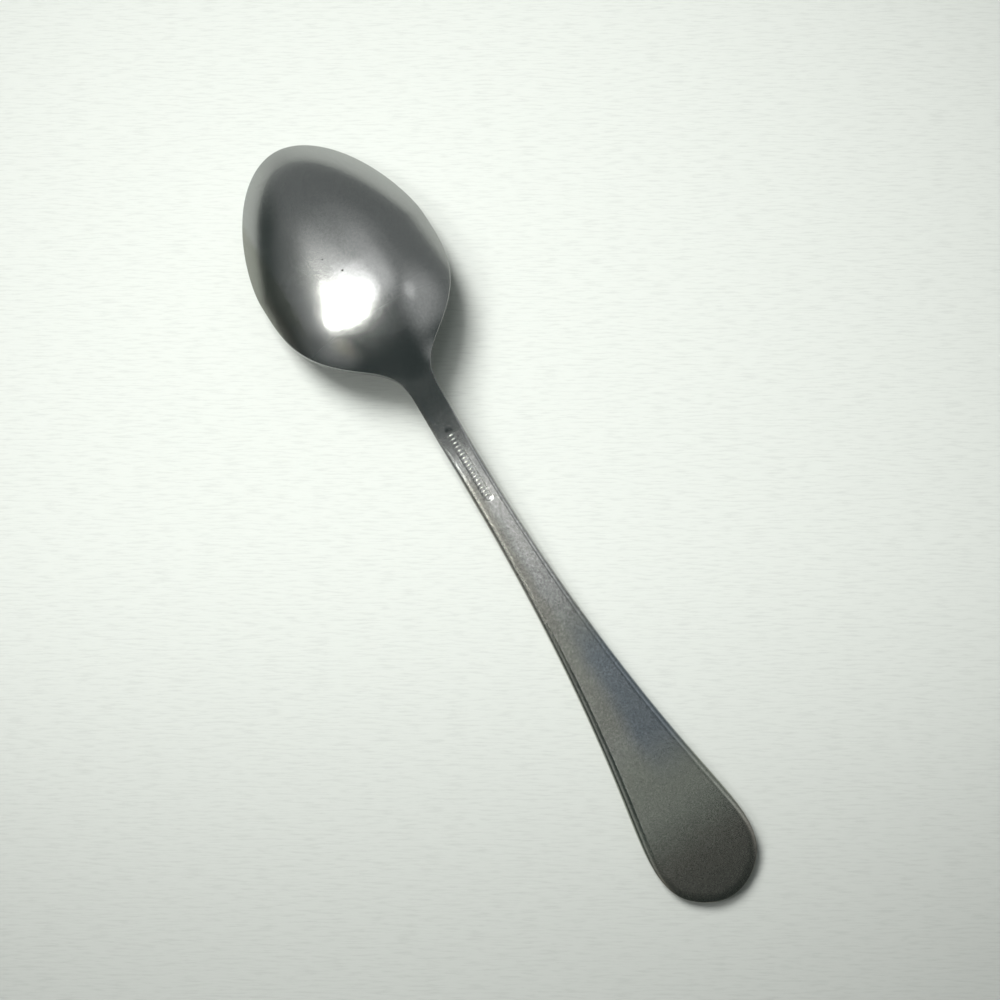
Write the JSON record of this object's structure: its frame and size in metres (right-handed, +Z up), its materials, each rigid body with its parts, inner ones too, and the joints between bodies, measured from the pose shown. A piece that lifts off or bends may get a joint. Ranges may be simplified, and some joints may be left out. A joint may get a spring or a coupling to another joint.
{
  "type": "teaspoon",
  "caption": "Plain stainless steel teaspoon with an oval bowl, a slim stem that flares into a rounded handle, and a small bare stamped panel on its back.",
  "frame": {"origin": "middle of the spoon's length and width, on the surface that it lies on", "axes": "+X from the bowl's tip to the handle's end, +Y across the spoon, +Z up, out of the back: the spoon lies back up, with its hollow facing down"},
  "size_m": [0.14, 0.0304, 0.0111],
  "materials": {
    "steel": "satin stainless steel, worn with fine scratches"
  },
  "bodies": {
    "root": {"bowl": "steel", "neck": "steel", "stem": "steel", "handle": "steel"}
  },
  "joints": []
}
